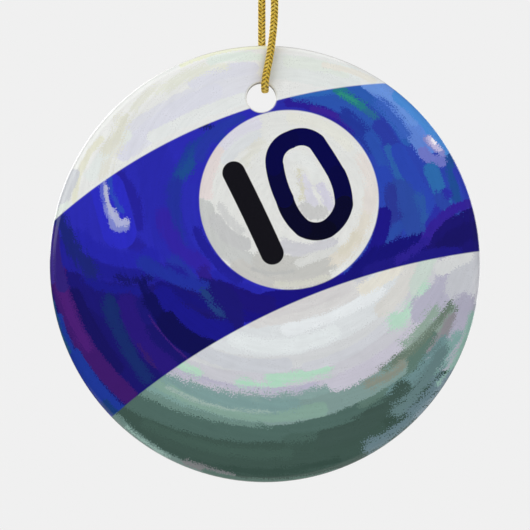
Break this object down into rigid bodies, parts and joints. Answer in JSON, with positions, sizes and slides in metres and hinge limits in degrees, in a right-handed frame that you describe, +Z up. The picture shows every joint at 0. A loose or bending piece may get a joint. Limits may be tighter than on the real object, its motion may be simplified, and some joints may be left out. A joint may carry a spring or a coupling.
{
  "type": "round ceramic hanging ornament",
  "caption": "Flat round glazed ceramic ornament printed with a striped number ten ball, on a knotted loop of thin gold plaited cord.",
  "frame": {"origin": "hanging point: the top of the hook's wire, inside the cord's loop and under its knot", "axes": "+Z up along the hanging cord, -Y out of the printed face, +X to the right of the printed face"},
  "size_m": [0.073, 0.0072, 0.1509],
  "materials": {
    "glazed_print": "clear gloss glaze over a fused colour print",
    "gold_cord": "plaited metallic gold thread"
  },
  "bodies": {
    "loop_top": {"cord_knot": "gold_cord", "cord_end_front": "gold_cord", "cord_end_back": "gold_cord", "cord_crown_front": "gold_cord", "cord_crown_back": "gold_cord"},
    "loop_neck": {"cord_neck_front": "gold_cord", "cord_neck_back": "gold_cord"},
    "loop_legs": {"cord_leg_front": "gold_cord", "cord_leg_back": "gold_cord"},
    "loop_foot": {"cord_bight": "gold_cord"},
    "disc": {"ceramic_disc": "glazed_print"}
  },
  "joints": [
    {"name": "swing_fore_aft", "type": "hinge", "parent": "loop_top", "child": "loop_neck", "pos_m": [0, 0, -0.0023], "axis": [1, 0, 0], "range_deg": [-30, 30]},
    {"name": "swing_sideways", "type": "hinge", "parent": "loop_neck", "child": "loop_legs", "pos_m": [0, 0, -0.0083], "axis": [0, 1, 0], "range_deg": [-45, 45]},
    {"name": "cord_twist", "type": "hinge", "parent": "loop_legs", "child": "loop_foot", "pos_m": [0, 0, -0.04], "axis": [0, 0, 1], "range_deg": [-180, 180]},
    {"name": "disc_rock", "type": "hinge", "parent": "loop_foot", "child": "disc", "pos_m": [0, 0, -0.07], "axis": [0, 1, 0], "range_deg": [-60, 60]}
  ]
}
